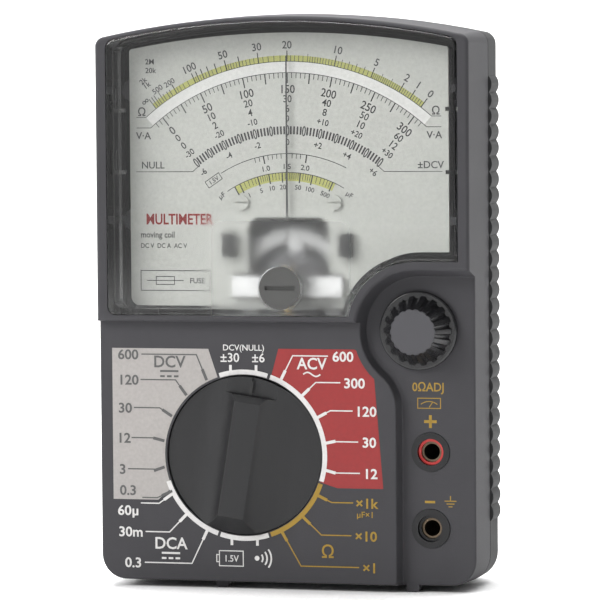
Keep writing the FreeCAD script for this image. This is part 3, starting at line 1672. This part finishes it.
def knob_side_cuts(front, radius):
    """What is taken off the bar's ends: a low step at the index and a slope at the tail."""
    beyond = radius + Sizes.knob_disc_thickness
    above = front + Sizes.knob_disc_thickness
    step = front - Sizes.knob_index_drop
    step_z = radius - Sizes.knob_index_length
    facet = Sizes.knob_index_facet
    slope = Sizes.knob_tail_slope
    index = [
        ((-step, beyond),),
        ((-step, step_z),),
        ((facet - front, step_z),),
        ((-front, step_z - facet),),
        ((-above, step_z - facet),),
        ((-above, beyond),),
    ]
    tail = [
        ((slope - front, -radius),),
        ((slope - front, -beyond),),
        ((-above, -beyond),),
        ((-above, slope - radius),),
        ((-front, slope - radius),),
    ]
    return index, tail


def knob_top_edge(edge):
    """True for the long top edges of the bar."""
    box = edge.BoundBox
    return flat_at(edge, -knob_fronts()[1]) and box.ZLength > Sizes.knob_radius


def selector_rotor():
    """The rotor that the knob's stem drives, with radial pockets for the two detent balls."""
    disc = rod("rotor_disc", "0", "0", ROTOR_BACK, ROTOR_FRONT, "rotor_radius")
    middle = "(%s + rotor_thickness/2)" % ROTOR_BACK
    inner = "(rotor_radius - detent_pocket_depth)"
    pocket_radius = "detent_ball_radius + shaft_clearance"
    pockets = [
        beam("ball_pocket_right", inner, "2*rotor_radius", middle, "0", pocket_radius),
        beam("ball_pocket_left", "-2*rotor_radius", "-" + inner, middle, "0", pocket_radius),
    ]
    sink = rod(
        "rotor_sink",
        "0",
        "0",
        ROTOR_BACK,
        "%s + rotor_screw_head_thickness" % ROTOR_BACK,
        "rotor_screw_head_radius + shaft_clearance",
    )
    hole = rod("rotor_hole", "0", "0", ROTOR_BACK, ROTOR_FRONT, "rotor_screw_radius + shaft_clearance")
    return as_node(on_knob(cut("selector_rotor", disc, *pockets, sink, hole)), "selector_rotor")


def rotor_screw():
    item = screw(
        "rotor_screw_solid",
        "0",
        "0",
        "%s + rotor_screw_head_thickness" % ROTOR_BACK,
        "rotor_screw_length",
        "rotor_screw_radius - shaft_clearance/2",
        "rotor_screw_head_radius",
        "rotor_screw_head_thickness",
        -1,
    )
    return as_node(on_knob(item), "rotor_screw")


def detent_balls():
    """Two balls on the springs, drawn pressed back to pass the crests of the detent ring."""
    centre = "rotor_radius + detent_ring_gap - detent_ball_gap - detent_ball_radius"
    balls = []
    for name, sign in (("left", "-"), ("right", "")):
        ball = doc.addObject("Part::Sphere", "detent_ball_" + name)
        bind(
            ball,
            {
                "Radius": "detent_ball_radius",
                "Placement.Base.x": "%s(%s)" % (sign, centre),
                "Placement.Base.y": "-(%s + rotor_thickness/2)" % ROTOR_BACK,
            },
        )
        balls.append(ball)
    return as_node(on_knob(group("detent_balls", *balls)), "detent_balls")


def coil_spring(name, wire_radius, radius, turns, length):
    """An open coil spring that starts at the origin and runs along +Z."""
    spine = doc.addObject("Part::Helix", name + "_spine")
    bind(
        spine,
        {
            "Radius": radius,
            "Height": "(%s) - 2*(%s)" % (length, wire_radius),
            "Pitch": "((%s) - 2*(%s))/(%s)" % (length, wire_radius, turns),
        },
    )
    wire = doc.addObject("Part::Circle", name + "_wire")
    wire.Placement = Placement(Vector(), TURN_FORWARD)
    bind(wire, {"Radius": wire_radius, "Placement.Base.x": radius})
    spring = doc.addObject("Part::Sweep", name)
    spring.Sections = [wire]
    spring.Spine = (spine, ["Edge1"])
    spring.Solid = True
    spring.Frenet = True
    return spring


def detent_springs():
    """Two springs behind the detent balls."""
    springs = []
    room = "(detent_pocket_depth + detent_ring_gap - detent_ball_gap - 2*detent_ball_radius)"
    for name, sign, turn in (("left", "-", 270), ("right", "", 90)):
        spring = coil_spring(
            "detent_spring_" + name,
            "detent_spring_wire",
            "detent_spring_radius",
            "detent_spring_turns",
            room,
        )
        spring.Placement = Placement(Vector(), Rotation(Vector(0, 1, 0), turn))
        bind(
            spring,
            {
                "Placement.Base.x": "%s(rotor_radius - detent_pocket_depth + detent_spring_wire)" % sign,
                "Placement.Base.y": "-(%s + rotor_thickness/2)" % ROTOR_BACK,
            },
        )
        springs.append(spring)
    return as_node(on_knob(group("detent_springs", *springs)), "detent_springs")


def around_switch(radius, clock):
    """Formulas for a place round the range switch's axis."""
    turn = math.radians(clock)
    x = "knob_x + (%s)*%.6f" % (radius, math.sin(turn))
    z = "knob_z + (%s)*%.6f" % (radius, math.cos(turn))
    return x, z


def switch_clocks():
    """The clock angles of all the switch's positions."""
    step = 360 / Sizes.range_positions
    return [Sizes.knob_bar_angle + step * number for number in range(Sizes.range_positions)]


def detent_ring():
    """The notched ring round the rotor, clamped between the board and the well."""
    inner = "rotor_radius + detent_ring_gap"
    outer = inner + " + detent_ring_wall"
    blank = ring("detent_blank", "knob_x", "knob_z", BOARD, WELL_BACK, outer, inner)
    notches = []
    for number, clock in enumerate(switch_clocks()):
        place = around_switch("rotor_radius", clock)
        notches.append(rod("detent_notch_%d" % number, *place, BOARD, WELL_BACK, "detent_notch_radius"))
    return as_node(cut("detent_ring", blank, *notches), "detent_ring")


def wiper_contacts():
    """Three sprung contacts under the rotor, one on each track."""
    solids = []
    track_front = "(%s + track_thickness + wiper_contact_gap)" % BOARD
    for number in range(3):
        radius = "(track_first_radius + %d*track_spacing)" % number
        sides = ("-%s - wiper_width/2" % radius, "-%s + wiper_width/2" % radius)
        root_back = "%s - wiper_thickness" % ROTOR_BACK
        foot_front = "%s + wiper_thickness" % track_front
        half = "wiper_length/2"
        name = "wiper_%d" % number
        root = block(name + "_root", *sides, root_back, ROTOR_BACK, "-" + half, half)
        leg = block(name + "_leg", *sides, track_front, ROTOR_BACK, "%s - wiper_thickness" % half, half)
        foot = block(name + "_foot", *sides, track_front, foot_front, "-wiper_width", half)
        solids.append(fuse(name, root, leg, foot))
    return as_node(on_knob(group("wiper_contacts", *solids)), "wiper_contacts")


def contact_tracks():
    """Copper on the board under the wipers: two full rings and one pad for each position."""
    front = "(%s + track_thickness)" % BOARD
    copper = []
    for number in range(2):
        radius = "(track_first_radius + %d*track_spacing)" % number
        edges = ("%s + track_width/2" % radius, "%s - track_width/2" % radius)
        copper.append(ring("track_%d" % number, "knob_x", "knob_z", BOARD, front, *edges))
    for number, clock in enumerate(switch_clocks()):
        place = around_switch("track_first_radius + 2*track_spacing", clock)
        copper.append(rod("contact_pad_%d" % number, *place, BOARD, front, "contact_pad_radius"))
    return as_node(group("contact_tracks", *copper), "contact_tracks")


# The zero-ohm control

POT_FRONT = "(%s + pot_thickness)" % BOARD
BUSH_FRONT = "(%s + pot_thickness + pot_bush_length)" % BOARD
OHM_BASE = "(%s + ohm_lift)" % COLUMN


def ohm_knob():
    """A fluted knob that tapers from a plain rim to a flat top."""
    body = doc.addObject("PartDesign::Body", "ohm_knob")
    base = Sizes.body_depth / 2 - Sizes.bar_proud - Sizes.panel_step - Sizes.column_step + Sizes.ohm_lift
    rim = base + Sizes.ohm_base_rim
    top = base + Sizes.ohm_height
    section = sketch_on(body, "ohm_section", "0", role="XY_Plane")
    outline = [
        (0, base),
        (Sizes.ohm_base_radius, base),
        (Sizes.ohm_base_radius, rim),
        (Sizes.ohm_shoulder_radius, rim),
        (Sizes.ohm_top_radius, top),
        (0, top),
    ]
    draw(section, [((x, -level),) for x, level in outline])
    turned = body.newObject("PartDesign::Revolution", "ohm_solid")
    turned.Profile = section
    turned.ReferenceAxis = (body_plane(body, "Y_Axis"), [""])
    round_edges(body, "ohm_rim_edge", "step_edge_round", lambda edge: ohm_outer_rim(edge, -rim))
    bore = sketch_on(body, "ohm_bore_outline", OHM_BASE)
    circle(bore, "0", "0", "pot_shaft_radius + shaft_clearance/3")
    pocket(body, "ohm_bore", bore, "ohm_bore_depth", reverse=True)
    flute_top = sketch_on(body, "flute_top_outline", "%s + ohm_height + step_edge_round" % OHM_BASE)
    circle(flute_top, "0", "ohm_top_radius + ohm_flute_top_radius/3", "ohm_flute_top_radius")
    flute_low = sketch_on(body, "flute_low_outline", "%s + ohm_base_rim" % OHM_BASE)
    circle(flute_low, "0", "ohm_shoulder_radius + ohm_flute_radius/3", "ohm_flute_radius")
    flute = loft(body, "SubtractiveLoft", "ohm_flute", flute_top, flute_low)
    doc.recompute()
    pattern = body.newObject("PartDesign::PolarPattern", "ohm_flutes_pattern")
    pattern.Originals = [flute]
    pattern.Axis = (body_plane(body, "Y_Axis"), [""])
    pattern.Angle = 360
    pattern.setExpression("Occurrences", formula("ohm_flutes"))
    body.Tip = pattern
    bind(body, {"Placement.Base.x": OHM_X, "Placement.Base.z": "ohm_z"})
    doc.recompute()
    return as_node(body, "ohm_knob")


def ohm_outer_rim(edge, y):
    return flat_at(edge, y) and edge.BoundBox.XMax > Sizes.ohm_shoulder_radius + Sizes.step_edge_round


def pot_shaft():
    floor = "%s + pot_floor" % BOARD
    end = "%s + ohm_bore_depth - lever_clearance" % OHM_BASE
    return as_node(rod("pot_shaft", OHM_X, "ohm_z", floor, end, "pot_shaft_radius"), "pot_shaft")


def pot_body():
    """The potentiometer under the knob, its threaded bush up through the case."""
    can = rod("pot_can", OHM_X, "ohm_z", BOARD, POT_FRONT, "pot_radius")
    bush = rod("pot_bush", OHM_X, "ohm_z", BOARD, BUSH_FRONT, "pot_bush_radius")
    bore_radius = "pot_shaft_radius + shaft_clearance"
    bore = rod("pot_bore", OHM_X, "ohm_z", "%s + pot_floor" % BOARD, BUSH_FRONT, bore_radius)
    return as_node(cut("pot_body", fuse("pot_blank", can, bush), bore), "pot_body")


# The test jacks

JACKS = (("plus", "(jack_minus_z + jack_spacing)"), ("minus", "jack_minus_z"))


def jack_wells():
    """The raised rings round the two jacks, slimmer behind the case's floor."""
    front = "%s + jack_well_proud" % COLUMN
    step = "%s - 2*case_wall" % COLUMN
    inner = "jack_well_radius - jack_well_wall"
    wells = []
    for name, z in JACKS:
        collar = rod("well_collar_" + name, JACK_X, z, step, front, "jack_well_radius")
        barrel = rod("well_barrel_" + name, JACK_X, z, BOARD, step, "jack_well_radius - jack_well_step")
        bore = rod("well_bore_" + name, JACK_X, z, BOARD, front, inner)
        wells.append(cut("well_" + name, fuse("well_blank_" + name, collar, barrel), bore))
    return as_node(group("jack_wells", *wells), "jack_wells")


def jack_sleeve(name, z):
    """A coloured insulating sleeve round one socket."""
    front = "%s - jack_sleeve_sink" % COLUMN
    inner = "jack_bore_radius + jack_socket_wall + shaft_clearance"
    return as_node(ring(name, JACK_X, z, BOARD, front, "jack_sleeve_radius", inner), name)


def jack_sockets():
    """Two brass sockets that go back through the board."""
    mouth = "(%s - jack_socket_sink)" % COLUMN
    floor = "(%s - jack_bore_length)" % mouth
    solids = []
    for name, z in JACKS:
        wall = rod(
            "socket_wall_" + name,
            JACK_X,
            z,
            "%s - jack_socket_floor" % floor,
            mouth,
            "jack_bore_radius + jack_socket_wall",
        )
        bore = rod("socket_bore_" + name, JACK_X, z, floor, mouth, "jack_bore_radius")
        solids.append(cut("socket_" + name, wall, bore))
    return as_node(group("jack_sockets", *solids), "jack_sockets")


# The circuit board and what it carries


def circuit_board():
    body = doc.addObject("PartDesign::Body", "circuit_board")
    outline = sketch_on(body, "board_outline", BOARD_BACK)
    half = Sizes.body_width / 2 - Sizes.grip_proud - Sizes.board_side_gap
    inner = half - Sizes.board_tab_width
    low = Sizes.board_bottom
    corners = [
        (-half, low),
        (half, low),
        (half, Sizes.board_tab_top),
        (inner, Sizes.board_tab_top),
        (inner, Sizes.board_top),
        (-half, Sizes.board_top),
    ]
    draw(outline, [(corner,) for corner in corners])
    pad(body, "board_sheet", outline, "board_thickness")
    holes = sketch_on(body, "board_holes", BOARD)
    for name, z in JACKS:
        circle(holes, JACK_X, z, "jack_bore_radius + jack_socket_wall + shaft_clearance")
    circle(holes, "board_screw_x", "board_screw_z", "small_screw_radius + shaft_clearance")
    circle(holes, "-board_screw_x", "board_screw_z", "small_screw_radius + shaft_clearance")
    pocket(body, "board_hole_cuts", holes, "2*board_thickness")
    for name, (x, z) in zip(("left", "right"), screw_places()):
        notch = sketch_on(body, "board_notch_" + name, BOARD)
        circle(notch, x, z, "post_radius + post_gap")
        pocket(body, "board_notch_cut_" + name, notch, "2*board_thickness")
    doc.recompute()
    return as_node(body, "circuit_board")


def board_screws():
    sizes = ("small_screw_length", "small_screw_radius - shaft_clearance/3", "small_screw_head_radius")
    screws = [
        screw(
            "board_screw_" + name,
            sign + "board_screw_x",
            "board_screw_z",
            BOARD_BACK,
            *sizes,
            "small_screw_head_thickness",
            -1,
        )
        for name, sign in (("left", "-"), ("right", ""))
    ]
    return as_node(group("board_screws", *screws), "board_screws")


CELL_LEVEL = "(%s + case_wall + cell_back_gap + cell_radius)" % BACK
CELL_REACH = "((cell_length + cell_nub_length + cell_spring_space)/2)"
CELLS = (("lower", "cell_low_z", 1), ("upper", "(cell_low_z + cell_pitch)", -1))


def lengthwise(name, near, far, z, radius, sign):
    """A round bar on the cells' line between two distances from the middle, on one side or across."""
    ends = (near, far) if sign > 0 else ("-(%s)" % far, "-(%s)" % near)
    return beam(name, *ends, CELL_LEVEL, z, radius)


def cells():
    """Two cells side by side, facing opposite ways; each nub touches a contact plate."""
    solids = []
    for name, z, sign in CELLS:
        shoulder = "%s - cell_nub_length" % CELL_REACH
        start = "%s - cell_length" % shoulder
        can = lengthwise("cell_can_" + name, start, shoulder, z, "cell_radius", sign)
        nub = lengthwise("cell_nub_" + name, shoulder, CELL_REACH, z, "cell_nub_radius", sign)
        solids.append(fuse("cell_" + name, can, nub))
    return as_node(group("cells", *solids), "cells")


def battery_contacts():
    """Sprung steel plates against the cell ribs; the left one joins the two cells."""
    far = "(%s + cell_contact_thickness)" % CELL_REACH
    low = "(%s - cell_contact_height/2)" % CELL_LEVEL
    high = "(%s + cell_contact_height/2)" % CELL_LEVEL
    upper_z = "(cell_low_z + cell_pitch)"
    link = block(
        "contact_link",
        "-" + far,
        "-" + CELL_REACH,
        low,
        high,
        "cell_low_z - cell_contact_height/2",
        "%s + cell_contact_height/2" % upper_z,
    )
    plates = [link]
    for name, z, sign in CELLS:
        plate = block(
            "contact_plate_" + name,
            CELL_REACH,
            far,
            low,
            high,
            "%s - cell_contact_height/2" % z,
            "%s + cell_contact_height/2" % z,
        )
        tab = block(
            "contact_tab_" + name,
            CELL_REACH,
            far,
            low,
            BOARD_BACK,
            "%s - cell_contact_height/6" % z,
            "%s + cell_contact_height/6" % z,
        )
        plates.append(fuse("contact_" + name, plate, tab))
    return as_node(group("battery_contacts", *plates), "battery_contacts")


def battery_springs():
    """A coil spring against the flat end of each cell."""
    springs = []
    for name, z, sign in CELLS:
        spring = coil_spring(
            "battery_spring_" + name,
            "cell_spring_wire",
            "cell_spring_radius",
            "cell_spring_turns",
            "cell_spring_space",
        )
        turn = 90 if sign > 0 else 270
        spring.Placement = Placement(Vector(), Rotation(Vector(0, 1, 0), turn))
        start = "%s - cell_spring_wire" % CELL_REACH
        bind(
            spring,
            {
                "Placement.Base.x": "-(%s)" % start if sign > 0 else start,
                "Placement.Base.y": "-%s" % CELL_LEVEL,
                "Placement.Base.z": z,
            },
        )
        springs.append(spring)
    return as_node(group("battery_springs", *springs), "battery_springs")


FUSE_LEVEL = "(%s - fuse_clip_floor - fuse_radius)" % BOARD_BACK


def fuse_glass():
    """The fuse's glass tube, which runs into both caps."""
    end = "fuse_length/2 - fuse_cap_wall"
    radius = "fuse_radius - fuse_cap_wall"
    outer = beam("glass_outer", "-(%s)" % end, end, FUSE_LEVEL, "fuse_z", radius)
    bore_radius = radius + " - fuse_glass_wall"
    bore = beam("glass_bore", "-fuse_length/2", "fuse_length/2", FUSE_LEVEL, "fuse_z", bore_radius)
    return as_node(cut("fuse_glass", outer, bore), "fuse_glass")


def fuse_caps():
    """The two metal caps on the ends of the glass tube."""
    caps = []
    end = "fuse_length/2"
    mouth = "fuse_length/2 - fuse_cap_length"
    floor = "fuse_length/2 - fuse_cap_wall"
    for name, ends, inner in (
        ("left", ("-" + end, "-(%s)" % mouth), ("-(%s)" % floor, "0")),
        ("right", (mouth, end), ("0", floor)),
    ):
        shell = beam("cap_shell_" + name, *ends, FUSE_LEVEL, "fuse_z", "fuse_radius")
        hollow = beam("cap_hollow_" + name, *inner, FUSE_LEVEL, "fuse_z", "fuse_radius - fuse_cap_wall")
        caps.append(cut("cap_" + name, shell, hollow))
    return as_node(group("fuse_caps", *caps), "fuse_caps")


def fuse_clips():
    """Two open spring clips that hold the fuse on the board."""
    clips = []
    outer = "(fuse_radius + fuse_clip_wall)"
    z_ends = ("fuse_z - %s" % outer, "fuse_z + %s" % outer)
    middle = "(fuse_length/2 - fuse_cap_length/2)"
    mouth_levels = ("%s - %s" % (FUSE_LEVEL, outer), "%s - fuse_radius/2" % FUSE_LEVEL)
    foot_levels = ("%s + fuse_radius" % FUSE_LEVEL, BOARD_BACK)
    for name, sign in (("left", "-"), ("right", "")):
        ends = (
            "%s%s - fuse_clip_width/2" % (sign, middle),
            "%s%s + fuse_clip_width/2" % (sign, middle),
        )
        shell = beam("clip_shell_" + name, *ends, FUSE_LEVEL, "fuse_z", outer)
        foot = block(
            "clip_foot_" + name,
            *ends,
            *foot_levels,
            "fuse_z - fuse_radius",
            "fuse_z + fuse_radius",
        )
        hollow = beam("clip_hollow_" + name, *ends, FUSE_LEVEL, "fuse_z", "fuse_radius")
        mouth = block("clip_mouth_" + name, *ends, *mouth_levels, *z_ends)
        blank = fuse("clip_blank_" + name, shell, foot)
        clips.append(cut("clip_" + name, blank, hollow, mouth))
    return as_node(group("fuse_clips", *clips), "fuse_clips")


def buzzer():
    """A round piezo sounder with a small sound hole."""
    back = "(%s - buzzer_height)" % BOARD_BACK
    can = rod("buzzer_can", "buzzer_x", "buzzer_z", back, BOARD_BACK, "buzzer_radius")
    hole_front = "%s + buzzer_height/5" % back
    hole = rod("buzzer_hole", "buzzer_x", "buzzer_z", back, hole_front, "buzzer_radius/6")
    return as_node(cut("buzzer", can, hole), "buzzer")


def leaded_part(name, x, z, radius, length, lead_radius):
    """An upright cylinder behind the board with a bent lead at each end."""
    level = "(%s - %s - 2*%s)" % (BOARD_BACK, radius, lead_radius)
    shell = doc.addObject("Part::Cylinder", name + "_shell")
    bind(
        shell,
        {
            "Radius": radius,
            "Height": length,
            "Placement.Base.x": x,
            "Placement.Base.y": "-" + level,
            "Placement.Base.z": "%s - %s/2" % (z, length),
        },
    )
    wire = doc.addObject("Part::Cylinder", name + "_wire")
    reach = "(%s/2 + 3*%s)" % (length, lead_radius)
    bind(
        wire,
        {
            "Radius": lead_radius,
            "Height": "2*%s" % reach,
            "Placement.Base.x": x,
            "Placement.Base.y": "-" + level,
            "Placement.Base.z": "%s - %s" % (z, reach),
        },
    )
    legs = [
        rod(
            name + "_leg_" + end,
            x,
            "%s %s (%s - %s)" % (z, sign, reach, lead_radius),
            level,
            BOARD_BACK,
            lead_radius + "*3/4",
        )
        for end, sign in (("low", "-"), ("high", "+"))
    ]
    return fuse(name, shell, wire, *legs)


def resistors():
    solids = []
    for row, z in (("low", "resistor_low_z"), ("high", "resistor_high_z")):
        for number in range(Sizes.resistor_count):
            x = "(resistor_first_x + %d*resistor_pitch)" % number
            name = "resistor_%s_%d" % (row, number)
            solids.append(leaded_part(name, x, z, "resistor_radius", "resistor_length", "lead_radius"))
    return as_node(group("resistors", *solids), "resistors")


def diodes():
    solids = []
    for number in range(0, Sizes.resistor_count, 2):
        x = "(resistor_first_x + %d*resistor_pitch)" % number
        name = "diode_%d" % number
        solids.append(leaded_part(name, x, "diode_z", "diode_radius", "diode_length", "lead_radius"))
    return as_node(group("diodes", *solids), "diodes")


def capacitors():
    back = "%s - capacitor_height" % BOARD_BACK
    solids = []
    for number in range(2):
        x = "capacitor_x + %d*3*capacitor_radius" % number
        solids.append(
            rod("capacitor_%d" % number, x, "fuse_z", back, BOARD_BACK, "capacitor_radius")
        )
    return as_node(group("capacitors", *solids), "capacitors")


def trimmers():
    """Two square trimmers with a cross slot for adjusting at the factory."""
    solids = []
    back = "(%s - trimmer_height)" % BOARD_BACK
    for number in range(2):
        z = "(trimmer_low_z + %d*trimmer_pitch)" % number
        name = "trimmer_%d" % number
        box = block(
            name + "_box",
            "trimmer_x - trimmer_side/2",
            "trimmer_x + trimmer_side/2",
            back,
            BOARD_BACK,
            "%s - trimmer_side/2" % z,
            "%s + trimmer_side/2" % z,
        )
        slot = block(
            name + "_slot",
            "trimmer_x - trimmer_side/4",
            "trimmer_x + trimmer_side/4",
            back,
            "%s + screw_slot_depth" % back,
            "%s - screw_slot_width/2" % z,
            "%s + screw_slot_width/2" % z,
        )
        solids.append(cut(name, box, slot))
    return as_node(group("trimmers", *solids), "trimmers")


# Building, checking and writing


def build_all():
    """Makes every sub-part."""
    front_case()
    rear_case()
    case_screws()
    meter_cover()
    scale_plate()
    pointer_stops()
    scale_plate_screws()
    magnet_core()
    yoke_ring()
    core_straps()
    moving_coil()
    coil_pivots()
    pointer()
    balance_weights()
    hairspring("hairspring_front", 1)
    hairspring("hairspring_rear", -1)
    bridge("front_bridge", 1)
    bridge("rear_bridge", -1)
    jewel_screws()
    zero_lever()
    movement_frame()
    meter_terminals()
    movement_screws()
    zero_adjuster()
    range_knob()
    selector_rotor()
    rotor_screw()
    detent_balls()
    detent_springs()
    detent_ring()
    wiper_contacts()
    contact_tracks()
    ohm_knob()
    pot_shaft()
    pot_body()
    jack_wells()
    for name, (pole, z) in zip(("jack_sleeve_red", "jack_sleeve_black"), JACKS):
        jack_sleeve(name, z)
    jack_sockets()
    circuit_board()
    board_screws()
    cells()
    battery_contacts()
    battery_springs()
    fuse_glass()
    fuse_caps()
    fuse_clips()
    buzzer()
    resistors()
    diodes()
    capacitors()
    trimmers()


def check_all():
    """Stops if any object failed or any sub-part is empty or invalid."""
    doc.recompute()
    for item in doc.Objects:
        if "Invalid" in item.State or "Error" in item.State:
            raise ValueError("%s did not build" % item.Name)
    for item in NODES:
        if item.Shape.isNull() or not item.Shape.isValid():
            raise ValueError("%s has no valid shape" % item.Label)


def write_all():
    os.makedirs("parts", exist_ok=True)
    for item in NODES:
        item.Shape.exportStep("parts/%s.step" % item.Label)


build_all()
check_all()
write_all()
